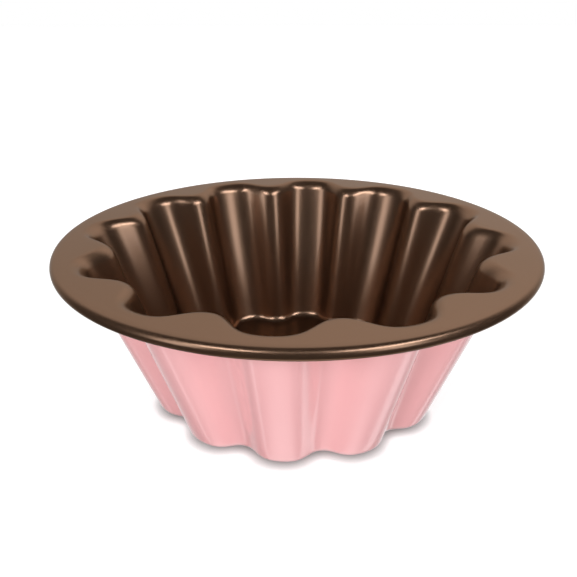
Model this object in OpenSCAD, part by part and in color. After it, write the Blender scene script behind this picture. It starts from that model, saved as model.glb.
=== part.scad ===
// Fluted brioche mould pressed from one sheet of steel.
// The sheet has a non-stick lining inside, coloured enamel outside, and a rim rolled round a wire.
// Sizes are in millimetres. The origin is the centre of the underside, and +Z is up.

/* [Overall] */
// Diameter over the rolled edge
rim_diameter = 240; // [210:1:280]
// Height from the underside to the top of the rim
mould_height = 85; // [60:1:110]

/* [Flutes] */
// How many flutes go round
flute_count = 12; // [8:1:16]
// Width of the rim in the middle of a flute, from the mouth out over the rolled edge
rim_width = 13.5; // [13:0.5:30]
// How far the ridges between flutes stand in at the mouth
mouth_flute_depth = 14; // [6:0.5:18]
// Radius of the floor in the middle of a flute, at the sheet's inner face
foot_radius = 75.5; // [55:0.5:85]
// How far the ridges between flutes stand in at the floor
foot_flute_depth = 7; // [4:0.5:14]
// How much wider a flute is than a ridge: 0 makes them alike
flute_bias = 0.45; // [0:0.05:0.6]
// How softly a flute turns into a ridge: a larger value is rounder
flute_softness = 1.1; // [0.5:0.05:2]

/* [Sheet] */
// Thickness of the steel sheet
sheet_thickness = 0.6; // [0.5:0.1:1]
// Thickness of the non-stick lining
lining_thickness = 0.2; // [0.1:0.05:0.3]
// Thickness of the outer enamel
enamel_thickness = 0.2; // [0.1:0.05:0.3]
// Bend radius where the wall meets the rim, at the sheet's inner face
mouth_fillet = 8; // [4:0.5:9]
// Bend radius where the wall meets the floor, at the sheet's inner face
floor_fillet = 5.5; // [3:0.5:8]

/* [Rolled edge] */
// Bend radius of the rim's outer shoulder, which leads down into the rolled edge
shoulder_radius = 20; // [10:1:24]
// How steeply the shoulder falls where the rolled edge starts, in degrees
shoulder_angle = 8; // [5:1:16]
// Diameter of the wire in the edge
wire_diameter = 3.4; // [2:0.1:4]
// Play between the wire and the sheet rolled round it
wire_play = 0.15; // [0.1:0.05:0.3]
// How far the sheet is rolled round the wire, in degrees
roll_angle = 280; // [240:5:285]

/* [Hidden] */
// Facets of the fluted shells: steps in one flute, in each bend, on the shoulder and round the rolled edge
flute_steps = 10;
floor_steps = 2;
mouth_steps = 3;
shoulder_steps = 2;
roll_steps = 7;
round_steps = flute_count * flute_steps;
step_angle = 360 / round_steps;
// Heights of the sheet's inner face at the floor and at the rim, and its radius at the mouth
floor_z = enamel_thickness + sheet_thickness;
rim_z = mould_height - lining_thickness;
mouth_radius = rim_diameter / 2 - rim_width;
// The rolled edge: its radius at the sheet's inner face, and its centre line, which the wire follows
roll_radius = wire_diameter / 2 + wire_play + sheet_thickness;
roll_centre_r = rim_diameter / 2 - lining_thickness - roll_radius;
roll_centre_z = rim_z - shoulder_radius * (1 - cos(shoulder_angle)) - roll_radius * cos(shoulder_angle);
// Where the shoulder starts on the flat rim
shoulder_start_r = roll_centre_r - (shoulder_radius - roll_radius) * sin(shoulder_angle);
// Small turn used to measure how the shape changes along a ring
slope_angle = 0.05;

// Share of a full flute at an angle: 1 in the middle of a flute, 0 on a ridge
function softened(c) = (c + flute_bias) / sqrt(pow(c + flute_bias, 2) + pow(flute_softness, 2));
function wave(a) = (softened(cos(flute_count * a)) - softened(-1)) / (softened(1) - softened(-1));

function mouth_r(a) = mouth_radius - mouth_flute_depth * (1 - wave(a));
function foot_r(a) = foot_radius - foot_flute_depth * (1 - wave(a));
// Angle that the sheet bends through at the floor, and back again at the rim
function bend(a) = atan2(rim_z - floor_z, mouth_r(a) - foot_r(a));

// Points of the sheet's inner face as [radius, height, tilt], from the floor out to the rolled edge
function floor_arc(a, t) =
    let (full = bend(a), tilt = full * t)
    [foot_r(a) - floor_fillet * (tan(full / 2) - sin(tilt)), floor_z + floor_fillet * (1 - cos(tilt)), tilt];
function mouth_arc(a, t) =
    let (full = bend(a), tilt = full * (1 - t))
    [mouth_r(a) + mouth_fillet * (tan(full / 2) - sin(tilt)), rim_z - mouth_fillet * (1 - cos(tilt)), tilt];
function shoulder_arc(t) =
    let (tilt = -shoulder_angle * t)
    [shoulder_start_r - shoulder_radius * sin(tilt), rim_z - shoulder_radius * (1 - cos(tilt)), tilt];
function roll_arc(t) =
    let (tilt = -shoulder_angle - (roll_angle - shoulder_angle) * t)
    [roll_centre_r - roll_radius * sin(tilt), roll_centre_z + roll_radius * cos(tilt), tilt];
function profile(a) = concat(
    [for (i = [0:floor_steps]) floor_arc(a, i / floor_steps)],
    [for (i = [0:mouth_steps]) mouth_arc(a, i / mouth_steps)],
    [for (i = [0:shoulder_steps]) shoulder_arc(i / shoulder_steps)],
    [for (i = [1:roll_steps]) roll_arc(i / roll_steps)]
);
// Rows of a whole profile, and of the enamel's, which stops on the shoulder where the roll's edge meets it
all_rows = floor_steps + mouth_steps + shoulder_steps + roll_steps + 3;
enamel_rows = floor_steps + mouth_steps + shoulder_steps + 2;

// Point at one row of the profile, moved off the inner face along the true normal
function moved(p, before, after, a, off) =
    let (
        turn = 2 * slope_angle * PI / 180,
        across = (sin(p[2]) * (after[0] - before[0]) - cos(p[2]) * (after[1] - before[1])) / (turn * p[0]),
        normal = [-sin(p[2]), across, cos(p[2])],
        step = off * normal / norm(normal),
        r = p[0] + step[0]
    )
    [r * cos(a) - step[1] * sin(a), r * sin(a) + step[1] * cos(a), p[1] + step[2]];
// All points of a face that lies off the inner face: the middle of the floor, then rings going outwards
function face_points(rows, off) = concat(
    [[0, 0, floor_z + off]],
    [for (k = [0:round_steps - 1])
        let (
            a = k * step_angle,
            here = profile(a),
            before = profile(a - slope_angle),
            after = profile(a + slope_angle)
        )
        for (i = [0:rows - 1]) moved(here[i], before[i], after[i], a, off)]
);
// Triangles of that face, turned over where it is the lower one
function ordered(f, flip) = flip ? [f[0], f[2], f[1]] : f;
function face_triangles(rows, start, flip) = [
    for (k = [0:round_steps - 1])
        let (here = start + 1 + k * rows, next = start + 1 + ((k + 1) % round_steps) * rows)
        each concat(
            [ordered([start, next, here], flip)],
            [for (i = [0:rows - 2]) ordered([here + i, next + i, next + i + 1], flip)],
            [for (i = [0:rows - 2]) ordered([here + i, next + i + 1, here + i + 1], flip)]
        )
];
// Triangles that close the outer edge between the two faces
function edge_triangles(rows, start) = [
    for (k = [0:round_steps - 1])
        let (
            here = k * rows + rows,
            next = ((k + 1) % round_steps) * rows + rows
        )
        each [[here, next, start + next], [here, start + next, start + here]]
];
// Shell between two offsets from the sheet's inner face
module shell(rows, upper, lower) {
    count = round_steps * rows + 1;
    polyhedron(
        points = concat(face_points(rows, upper), face_points(rows, lower)),
        faces = concat(
            face_triangles(rows, 0, false),
            face_triangles(rows, count, true),
            edge_triangles(rows, count)
        )
    );
}

// Steel sheet: floor, fluted wall, flat rim and rolled edge in one pressing
module pressed_steel_body() {
    color([0.62, 0.63, 0.65]) shell(all_rows, 0, -sheet_thickness);
}

// Brown non-stick lining on the whole inner face, carried over the rim and round its rolled edge
module nonstick_lining() {
    color([0.3, 0.22, 0.17]) shell(all_rows, lining_thickness, 0);
}

// Pink enamel on the outside, from the underside of the floor to the underside of the rim
module outer_enamel() {
    color([0.95, 0.7, 0.72]) shell(enamel_rows, -sheet_thickness, -sheet_thickness - enamel_thickness);
}

// Steel wire that stiffens the rolled edge
module rim_wire() {
    color([0.7, 0.71, 0.72])
        translate([0, 0, roll_centre_z])
            rotate_extrude($fn = 120)
                translate([roll_centre_r, 0]) circle(d = wire_diameter, $fn = 24);
}

pressed_steel_body();
nonstick_lining();
outer_enamel();
rim_wire();
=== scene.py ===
import math

import bpy
import numpy as np
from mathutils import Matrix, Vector


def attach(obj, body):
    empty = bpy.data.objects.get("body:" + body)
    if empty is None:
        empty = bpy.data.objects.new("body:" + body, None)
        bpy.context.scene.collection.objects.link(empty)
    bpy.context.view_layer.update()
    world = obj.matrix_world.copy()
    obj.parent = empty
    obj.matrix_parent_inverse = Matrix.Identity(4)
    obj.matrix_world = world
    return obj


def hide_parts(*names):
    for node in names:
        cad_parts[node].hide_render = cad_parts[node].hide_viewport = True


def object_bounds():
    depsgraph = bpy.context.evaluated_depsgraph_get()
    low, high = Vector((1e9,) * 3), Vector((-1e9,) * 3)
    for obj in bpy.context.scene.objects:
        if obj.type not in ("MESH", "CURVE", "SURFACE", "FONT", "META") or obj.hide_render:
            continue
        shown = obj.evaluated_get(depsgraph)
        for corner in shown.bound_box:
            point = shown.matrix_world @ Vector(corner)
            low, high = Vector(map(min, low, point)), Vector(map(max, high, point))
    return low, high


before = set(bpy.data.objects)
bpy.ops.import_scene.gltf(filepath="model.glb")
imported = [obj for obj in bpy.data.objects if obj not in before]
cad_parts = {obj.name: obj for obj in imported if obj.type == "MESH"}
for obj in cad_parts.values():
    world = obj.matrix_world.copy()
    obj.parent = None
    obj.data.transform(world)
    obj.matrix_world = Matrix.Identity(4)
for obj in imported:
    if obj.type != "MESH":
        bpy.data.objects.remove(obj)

CAD_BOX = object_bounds()

# Sizes of the mould, as in the CAD source
FLUTE_COUNT = 12
RIM_WIDTH, MOUTH_FLUTE_DEPTH = 0.0135, 0.014
FOOT_RADIUS, FOOT_FLUTE_DEPTH = 0.0755, 0.007
FLUTE_BIAS, FLUTE_SOFTNESS = 0.45, 1.1
SHEET, LINING, ENAMEL = 0.0006, 0.0002, 0.0002
MOUTH_FILLET, FLOOR_FILLET = 0.008, 0.0055
SHOULDER_RADIUS = 0.020
SHOULDER_ANGLE = math.radians(8)
WIRE_RADIUS, WIRE_PLAY = 0.0017, 0.00015
ROLL_ANGLE = math.radians(280)
RIM_RADIUS = CAD_BOX[1].x
HEIGHT = CAD_BOX[1].z
FLOOR_Z = ENAMEL + SHEET
RIM_Z = HEIGHT - LINING
MOUTH_RADIUS = RIM_RADIUS - RIM_WIDTH
ROLL_RADIUS = WIRE_RADIUS + WIRE_PLAY + SHEET
ROLL_CENTRE_R = RIM_RADIUS - LINING - ROLL_RADIUS
ROLL_CENTRE_Z = (
    RIM_Z - SHOULDER_RADIUS * (1 - math.cos(SHOULDER_ANGLE)) - ROLL_RADIUS * math.cos(SHOULDER_ANGLE)
)
SHOULDER_START_R = ROLL_CENTRE_R - (SHOULDER_RADIUS - ROLL_RADIUS) * math.sin(SHOULDER_ANGLE)

# How finely the shown shells are divided
FLUTE_STEPS = 24
FLOOR_STEPS = 8
WALL_STEPS = 12
MOUTH_STEPS = 10
RIM_STEPS = 4
SHOULDER_STEPS = 8
ROLL_STEPS = 28
ROUND_STEPS = FLUTE_COUNT * FLUTE_STEPS
# Rows of a whole profile, and of the enamel's, which stops halfway over the shoulder
ALL_ROWS = FLOOR_STEPS + WALL_STEPS + MOUTH_STEPS + RIM_STEPS + SHOULDER_STEPS + ROLL_STEPS + 1
ENAMEL_ROWS = ALL_ROWS - ROLL_STEPS - SHOULDER_STEPS // 2
# Small turn, in radians, used to measure how the shape changes along a ring
SLOPE_ANGLE = 1e-4

# Span of a noise value over which a colour or a roughness changes
NOISE_SPAN = (0.1, 0.9)

# Camera at the photo's viewing angle: where it stands round the mould's axis, and where it looks
CAMERA_AZIMUTH = math.radians(5.3)
CAMERA_DISTANCE = 2.73 * RIM_RADIUS
CAMERA_ELEVATION = math.radians(19.18)
VIEW_ELEVATION = math.radians(24.036)
VIEW_TURN = math.radians(0.632)
VIEW_ROLL = math.radians(0.23)
FOCAL_PIXELS, IMAGE_PIXELS = 637.4, 577
SENSOR_WIDTH = 36
CLIP_START = 0.01

# Floor: half its width and its grey
FLOOR_REACH = 6
FLOOR_COLOUR = (0.4, 0.4, 0.4, 1)
FLOOR_ROUGHNESS = 0.9
# How much light the seen floor gets added, from one distance from the axis to another
FLOOR_LIFT = ((0.15, 0.5), (0.75, 0.9))
# How far the shadow under the mould's edge reaches, and how fast it fades
CONTACT_REACH, CONTACT_FADE = 0.005, 1.3

# Studio that reflections show. Levels are shares of white. Headings and rises are in degrees, and headings
# count from the camera's side. A pair holds a span of where a ray goes and the levels that it maps to
DIFFUSE_LIGHT = 0.36
ROOM_DARK = 0.08
# White backdrop behind the mould: where it ends towards the camera and at the top, and how its level drifts
BACKDROP_NEAR = ((-0.75, -0.15), (1, 0))
BACKDROP_TOP = ((48, 54), (1, 0))
BACKDROP_RISE = ((5, 30), (0.86, 1.08))
BACKDROP_SIDES = ((-0.4, 0.4), (0.93, 1.12))
# Two strips in front that draw the streaks on the far wall, and two wide boxes above them that light the
# rolled edge, as (heading, half width, low edge, high edge, level)
STRIPS = (
    (-50, 9, 0, 36, 3.2),
    (43, 9, 0, 36, 3.2),
    (-36, 14, 40, 50, 15),
    (48, 24, 40, 50, 13),
)
STRIP_COLOUR = (0.92, 1, 1.1, 1)
STRIP_BLUR = 4
# What the enamel sees of the lit floor: a glow below, and a band on each side as (heading, half width)
FLOOR_GLOW = ((-80, -66), (1, 0))
FLANK_BANDS = ((-91, 4), (106, 10))
FLANK_RISE = (-75, -48)
FLANK_HEADING_BLUR, FLANK_RISE_BLUR = 4, 6
FLANK_LIGHT = 1.2

# Area lamps that light the enamel, as (name, heading, rise, size, power), with the angles in degrees
LAMP_DISTANCE = 1.2
SOFTBOXES = (
    ("left_softbox", -36, 20, 0.6, 9.2),
    ("right_softbox", 36, 20, 0.6, 8),
    ("back_softbox", 178, 25, 0.9, 7),
)


def softened(c):
    """Curve that widens the flutes and rounds their turn into a ridge."""
    return (c + FLUTE_BIAS) / np.sqrt((c + FLUTE_BIAS) ** 2 + FLUTE_SOFTNESS ** 2)


def wave(angle):
    """Share of a full flute: 1 in the middle of a flute, 0 on a ridge."""
    c = np.cos(FLUTE_COUNT * angle)
    return (softened(c) - softened(-1)) / (softened(1) - softened(-1))


def profile(angle):
    """Rows of the sheet's inner face as (radius, height, tilt), each an array over the angles."""
    mouth = MOUTH_RADIUS - MOUTH_FLUTE_DEPTH * (1 - wave(angle))
    foot = FOOT_RADIUS - FOOT_FLUTE_DEPTH * (1 - wave(angle))
    bend = np.arctan2(RIM_Z - FLOOR_Z, mouth - foot)
    flat = np.zeros_like(angle)
    rows = []
    for t in np.linspace(0, 1, FLOOR_STEPS + 1):
        tilt = bend * t
        radius = foot - FLOOR_FILLET * (np.tan(bend / 2) - np.sin(tilt))
        rows.append((radius, FLOOR_Z + FLOOR_FILLET * (1 - np.cos(tilt)), tilt))
    top_radius = mouth + MOUTH_FILLET * (np.tan(bend / 2) - np.sin(bend))
    top_height = RIM_Z - MOUTH_FILLET * (1 - np.cos(bend))
    low_radius, low_height, _ = rows[-1]
    for t in np.linspace(0, 1, WALL_STEPS + 1)[1:-1]:
        radius = low_radius + (top_radius - low_radius) * t
        rows.append((radius, low_height + (top_height - low_height) * t, bend))
    for t in np.linspace(0, 1, MOUTH_STEPS + 1):
        tilt = bend * (1 - t)
        radius = mouth + MOUTH_FILLET * (np.tan(bend / 2) - np.sin(tilt))
        rows.append((radius, RIM_Z - MOUTH_FILLET * (1 - np.cos(tilt)), tilt))
    last_radius = rows[-1][0]
    for t in np.linspace(0, 1, RIM_STEPS + 1)[1:-1]:
        rows.append((last_radius + (SHOULDER_START_R - last_radius) * t, flat + RIM_Z, flat))
    for t in np.linspace(0, 1, SHOULDER_STEPS + 1):
        tilt = flat - SHOULDER_ANGLE * t
        radius = SHOULDER_START_R - SHOULDER_RADIUS * np.sin(tilt)
        rows.append((radius, RIM_Z - SHOULDER_RADIUS * (1 - np.cos(tilt)), tilt))
    for t in np.linspace(0, 1, ROLL_STEPS + 1)[1:]:
        tilt = flat - SHOULDER_ANGLE - (ROLL_ANGLE - SHOULDER_ANGLE) * t
        radius = ROLL_CENTRE_R - ROLL_RADIUS * np.sin(tilt)
        rows.append((radius, ROLL_CENTRE_Z + ROLL_RADIUS * np.cos(tilt), tilt))
    return rows


def face_points(rows, offset):
    """Rings of points at an offset from the sheet's inner face, along its true normal."""
    angle = np.arange(ROUND_STEPS) * 2 * math.pi / ROUND_STEPS
    here, before, after = profile(angle), profile(angle - SLOPE_ANGLE), profile(angle + SLOPE_ANGLE)
    rings = []
    for row in range(rows):
        radius, height, tilt = here[row]
        slope_r = (after[row][0] - before[row][0]) / (2 * SLOPE_ANGLE)
        slope_z = (after[row][1] - before[row][1]) / (2 * SLOPE_ANGLE)
        normal = np.stack([
            -np.sin(tilt),
            (np.sin(tilt) * slope_r - np.cos(tilt) * slope_z) / radius,
            np.cos(tilt),
        ])
        step = offset * normal / np.linalg.norm(normal, axis=0)
        out = radius + step[0]
        rings.append(np.stack([
            out * np.sin(angle) + step[1] * np.cos(angle),
            -out * np.cos(angle) + step[1] * np.sin(angle),
            height + step[2],
        ], axis=1))
    return rings


def new_object(name, data):
    """Object in the scene, with the data that it shows."""
    made = bpy.data.objects.new(name, data)
    bpy.context.scene.collection.objects.link(made)
    return made


def shell(name, rows, offsets):
    """Closed shell between two offsets, the upper one first, from the sheet's inner face."""
    points, faces, starts = [], [], []
    for offset in offsets:
        starts.append(len(points))
        points.append((0, 0, FLOOR_Z + offset))
        for ring in face_points(rows, offset):
            points.extend(map(tuple, ring))

    def at(side, row, k):
        return starts[side] + 1 + row * ROUND_STEPS + k % ROUND_STEPS

    last = rows - 1
    for k in range(ROUND_STEPS):
        faces.append((starts[0], at(0, 0, k), at(0, 0, k + 1)))
        faces.append((starts[1], at(1, 0, k + 1), at(1, 0, k)))
        for row in range(last):
            faces.append((at(0, row, k), at(0, row + 1, k), at(0, row + 1, k + 1), at(0, row, k + 1)))
            faces.append((at(1, row, k), at(1, row, k + 1), at(1, row + 1, k + 1), at(1, row + 1, k)))
        faces.append((at(0, last, k), at(1, last, k), at(1, last, k + 1), at(0, last, k + 1)))
    mesh = bpy.data.meshes.new(name)
    mesh.from_pydata(points, [], faces)
    mesh.validate()
    mesh.polygons.foreach_set("use_smooth", [True] * len(mesh.polygons))
    return new_object(name, mesh)


def linear(red, green, blue):
    """Linear colour from 0-255 values."""
    def one(v):
        v /= 255
        return v / 12.92 if v <= 0.04045 else ((v + 0.055) / 1.055) ** 2.4
    return (one(red), one(green), one(blue), 1)


def new_material(name):
    """Material, its node tree and its main shader."""
    material = bpy.data.materials.new(name)
    material.use_nodes = True
    tree = material.node_tree
    return material, tree, tree.nodes["Principled BSDF"]


def noise(tree, scale, detail):
    """Noise value over the piece."""
    coords = tree.nodes.new("ShaderNodeTexCoord")
    texture = tree.nodes.new("ShaderNodeTexNoise")
    texture.inputs["Scale"].default_value = scale
    texture.inputs["Detail"].default_value = detail
    tree.links.new(coords.outputs["Object"], texture.inputs["Vector"])
    return texture.outputs["Fac"]


def ranged(tree, value, span, levels, interpolation="SMOOTHSTEP"):
    """Maps a span of values to a span of levels."""
    node = tree.nodes.new("ShaderNodeMapRange")
    node.interpolation_type = interpolation
    for socket, number in zip(("From Min", "From Max", "To Min", "To Max"), (*span, *levels)):
        node.inputs[socket].default_value = number
    tree.links.new(value, node.inputs["Value"])
    return node.outputs["Result"]


def spread(tree, value, low, high):
    """Maps a noise value to a range."""
    return ranged(tree, value, NOISE_SPAN, (low, high), "LINEAR")


def tinted(tree, value, first, second):
    """Colour that drifts between two tones with a noise value."""
    ramp = tree.nodes.new("ShaderNodeValToRGB")
    for stop, place, colour in zip(ramp.color_ramp.elements, NOISE_SPAN, (first, second)):
        stop.position, stop.color = place, colour
    tree.links.new(value, ramp.inputs["Fac"])
    return ramp.outputs["Color"]


def bump(tree, value, distance):
    """Normal of a surface that a noise value raises by up to a distance."""
    node = tree.nodes.new("ShaderNodeBump")
    node.inputs["Distance"].default_value = distance
    tree.links.new(value, node.inputs["Height"])
    return node.outputs["Normal"]


def nonstick():
    """Satin brown non-stick: a metallic base under a thin clear film, with a fine grain."""
    material, tree, shader = new_material("nonstick")
    shader.inputs["Metallic"].default_value = 0.93
    shader.inputs["IOR"].default_value = 1.5
    shader.inputs["Specular Tint"].default_value = (0.6, 0.55, 0.5, 1)
    shader.inputs["Coat Weight"].default_value = 0.12
    shader.inputs["Coat Roughness"].default_value = 0.12
    fine = noise(tree, scale=2600, detail=2)
    broad = noise(tree, scale=30, detail=1)
    tone = tinted(tree, broad, linear(127, 97, 76), linear(131, 100, 79))
    tree.links.new(tone, shader.inputs["Base Color"])
    tree.links.new(spread(tree, broad, low=0.28, high=0.3), shader.inputs["Roughness"])
    tree.links.new(bump(tree, fine, distance=0.00001), shader.inputs["Normal"])
    return material


def enamel():
    """Smooth glossy pink enamel with a little orange peel."""
    material, tree, shader = new_material("enamel")
    shader.inputs["IOR"].default_value = 1.5
    shader.inputs["Coat Weight"].default_value = 0.5
    shader.inputs["Coat Roughness"].default_value = 0.05
    peel = noise(tree, scale=420, detail=2)
    broad = noise(tree, scale=30, detail=2)
    tone = tinted(tree, broad, linear(244, 182, 184), linear(247, 187, 188))
    tree.links.new(tone, shader.inputs["Base Color"])
    tree.links.new(spread(tree, broad, low=0.2, high=0.24), shader.inputs["Roughness"])
    tree.links.new(bump(tree, peel, distance=0.00003), shader.inputs["Normal"])
    return material


def bare_steel(name, scale):
    """Plain steel with fine rolling marks."""
    material, tree, shader = new_material(name)
    shader.inputs["Metallic"].default_value = 1
    grain = noise(tree, scale, detail=3)
    tone = tinted(tree, grain, linear(150, 150, 152), linear(176, 177, 180))
    tree.links.new(tone, shader.inputs["Base Color"])
    tree.links.new(spread(tree, grain, low=0.28, high=0.4), shader.inputs["Roughness"])
    tree.links.new(bump(tree, grain, distance=0.00001), shader.inputs["Normal"])
    return material


def math_node(tree, operation, first, second=0.0):
    """Result of a calculation on two values, each a number or a node's output."""
    node = tree.nodes.new("ShaderNodeMath")
    node.operation = operation
    for socket, value in zip(node.inputs, (first, second)):
        if isinstance(value, (int, float)):
            socket.default_value = value
        else:
            tree.links.new(value, socket)
    return node.outputs["Value"]


def window(tree, value, low, high, blur):
    """1 where a value lies between two limits, with soft edges."""
    rise = ranged(tree, value, (low - blur, low + blur), (0, 1))
    fall = ranged(tree, value, (high - blur, high + blur), (1, 0))
    return math_node(tree, "MULTIPLY", rise, fall)


def in_degrees(tree, value):
    """Value in degrees from one in radians."""
    return math_node(tree, "MULTIPLY", value, 180 / math.pi)


def along(tree, direction, turn):
    """Length of a direction along a horizontal heading, counted from the camera's side in radians."""
    heading = CAMERA_AZIMUTH + turn
    east = math_node(tree, "MULTIPLY", direction.outputs["X"], math.sin(heading))
    north = math_node(tree, "MULTIPLY", direction.outputs["Y"], -math.cos(heading))
    return math_node(tree, "ADD", east, north)


def add_camera():
    """Camera in its place, looking at the mould."""
    camera = new_object("camera", bpy.data.cameras.new("camera"))
    bpy.context.scene.camera = camera
    camera.data.sensor_width = SENSOR_WIDTH
    camera.data.lens = SENSOR_WIDTH * FOCAL_PIXELS / IMAGE_PIXELS
    camera.data.clip_start = CLIP_START
    reach = CAMERA_DISTANCE * math.cos(CAMERA_ELEVATION)
    camera.location = (
        reach * math.sin(CAMERA_AZIMUTH),
        -reach * math.cos(CAMERA_AZIMUTH),
        HEIGHT + CAMERA_DISTANCE * math.sin(CAMERA_ELEVATION),
    )
    camera.rotation_euler = (math.pi / 2 - VIEW_ELEVATION, VIEW_ROLL, CAMERA_AZIMUTH + VIEW_TURN)


def seen_by_camera(tree, path):
    """1 for a ray that comes straight from the camera, or through glass."""
    return math_node(tree, "ADD", path.outputs["Is Camera Ray"], path.outputs["Is Transmission Ray"])


def floor_material():
    """Pale floor that shows white to the camera and keeps the mould's shadow."""
    material, tree, shader = new_material("floor")
    shader.inputs["Base Color"].default_value = FLOOR_COLOUR
    shader.inputs["Roughness"].default_value = FLOOR_ROUGHNESS
    shader.inputs["Emission Color"].default_value = (1, 1, 1, 1)
    seen = seen_by_camera(tree, tree.nodes.new("ShaderNodeLightPath"))
    distance = tree.nodes.new("ShaderNodeVectorMath")
    distance.operation = "LENGTH"
    tree.links.new(tree.nodes.new("ShaderNodeTexCoord").outputs["Object"], distance.inputs[0])
    lift = ranged(tree, distance.outputs["Value"], *FLOOR_LIFT)
    # Less light right under the mould's edge, where little of the room is open
    open_share = tree.nodes.new("ShaderNodeAmbientOcclusion")
    open_share.inputs["Distance"].default_value = CONTACT_REACH
    contact = math_node(tree, "POWER", open_share.outputs["AO"], CONTACT_FADE)
    lift = math_node(tree, "MULTIPLY", lift, contact)
    tree.links.new(math_node(tree, "MULTIPLY", seen, lift), shader.inputs["Emission Strength"])
    return material


def add_floor():
    """Floor under the mould. Reflections look past it, into what the world shows of the lit floor."""
    floor = new_object("floor", bpy.data.meshes.new("floor"))
    corners = [(-1, -1), (1, -1), (1, 1), (-1, 1)]
    floor.data.from_pydata([(FLOOR_REACH * x, FLOOR_REACH * y, 0) for x, y in corners], [], [(0, 1, 2, 3)])
    floor.data.materials.append(floor_material())
    floor.visible_glossy = False


def backdrop_light(tree, towards, rightwards, rise):
    """Light of the white backdrop, over the room's own low light."""
    light = ranged(tree, towards, *BACKDROP_NEAR)
    for value, spans in ((rise, BACKDROP_TOP), (rise, BACKDROP_RISE), (rightwards, BACKDROP_SIDES)):
        light = math_node(tree, "MULTIPLY", light, ranged(tree, value, *spans))
    return math_node(tree, "MAXIMUM", light, ROOM_DARK)


def floor_light(tree, heading, rise):
    """Light that comes up from the floor: the glow under the mould and the bands beside it."""
    light = ranged(tree, rise, *FLOOR_GLOW)
    for centre, half in FLANK_BANDS:
        across = window(tree, heading, centre - half, centre + half, FLANK_HEADING_BLUR)
        band = math_node(tree, "MULTIPLY", across, window(tree, rise, *FLANK_RISE, FLANK_RISE_BLUR))
        light = math_node(tree, "ADD", light, math_node(tree, "MULTIPLY", band, FLANK_LIGHT))
    return light


def strip_light(tree, heading, rise):
    """Light of the strips and boxes in front."""
    light = 0.0
    for centre, half, low, high, level in STRIPS:
        across = window(tree, heading, centre - half, centre + half, STRIP_BLUR)
        strip = math_node(tree, "MULTIPLY", across, window(tree, rise, low, high, STRIP_BLUR))
        light = math_node(tree, "ADD", light, math_node(tree, "MULTIPLY", strip, level))
    return light


def add_world():
    """World that is white to the camera, the studio to reflections, and an even light to all else."""
    world = bpy.data.worlds.new("world")
    bpy.context.scene.world = world
    world.use_nodes = True
    tree = world.node_tree
    direction = tree.nodes.new("ShaderNodeSeparateXYZ")
    tree.links.new(tree.nodes.new("ShaderNodeTexCoord").outputs["Generated"], direction.inputs["Vector"])
    towards, rightwards = along(tree, direction, 0), along(tree, direction, math.pi / 2)
    heading = in_degrees(tree, math_node(tree, "ARCTAN2", rightwards, towards))
    rise = in_degrees(tree, math_node(tree, "ARCSINE", direction.outputs["Z"]))
    backdrop = backdrop_light(tree, towards, rightwards, rise)
    studio = math_node(tree, "ADD", backdrop, floor_light(tree, heading, rise))
    path = tree.nodes.new("ShaderNodeLightPath")
    seen = seen_by_camera(tree, path)
    # A glossy ray after a diffuse one gets the even light, because the strips would make bright specks
    direct = math_node(tree, "LESS_THAN", path.outputs["Diffuse Depth"], 0.5)
    glossy = math_node(tree, "MULTIPLY", path.outputs["Is Glossy Ray"], direct)
    even = math_node(tree, "SUBTRACT", 1, math_node(tree, "ADD", seen, glossy))
    white = math_node(tree, "ADD", seen, math_node(tree, "MULTIPLY", even, DIFFUSE_LIGHT))
    white = math_node(tree, "ADD", white, math_node(tree, "MULTIPLY", glossy, studio))
    strips = math_node(tree, "MULTIPLY", strip_light(tree, heading, rise), glossy)
    both = tree.nodes.new("ShaderNodeAddShader")
    cool = tree.nodes.new("ShaderNodeBackground")
    lights = ((tree.nodes["Background"], (1, 1, 1, 1), white), (cool, STRIP_COLOUR, strips))
    for (background, colour, strength), socket in zip(lights, both.inputs):
        background.inputs["Color"].default_value = colour
        tree.links.new(strength, background.inputs["Strength"])
        tree.links.new(background.outputs["Background"], socket)
    tree.links.new(both.outputs["Shader"], tree.nodes["World Output"].inputs["Surface"])


def add_softbox(name, heading, rise, size, power):
    """Area lamp that points at the mould and isn't seen in reflections."""
    data = bpy.data.lights.new(name, "AREA")
    data.size, data.energy = size, power
    lamp = new_object(name, data)
    turn, lift = CAMERA_AZIMUTH + math.radians(heading), math.radians(rise)
    back = Vector((math.sin(turn) * math.cos(lift), -math.cos(turn) * math.cos(lift), math.sin(lift)))
    lamp.location = Vector((0, 0, HEIGHT / 2)) + back * LAMP_DISTANCE
    lamp.rotation_mode = "QUATERNION"
    lamp.rotation_quaternion = (-back).to_track_quat("-Z", "Y")
    lamp.visible_glossy = False


def add_shell(node, name, rows, offsets, material):
    """Shell that stands for a node of the CAD."""
    piece = shell(name, rows, offsets)
    piece.data.materials.append(material)
    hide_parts(node)
    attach(piece, "root")


add_shell("nonstick_lining", "lining_skin", ALL_ROWS, (LINING, 0), nonstick())
add_shell("outer_enamel", "enamel_skin", ENAMEL_ROWS, (-SHEET, -SHEET - ENAMEL), enamel())
sheet_steel = bare_steel("sheet_steel", scale=900)
add_shell("pressed_steel_body", "steel_sheet", ALL_ROWS, (0, -SHEET), sheet_steel)

# The wire stays as the CAD has it
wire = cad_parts["rim_wire"]
wire.data.materials.clear()
wire.data.materials.append(bare_steel("wire_steel", scale=1500))

add_camera()
add_floor()
add_world()
for softbox in SOFTBOXES:
    add_softbox(*softbox)
bpy.context.scene.view_settings.view_transform = "Standard"
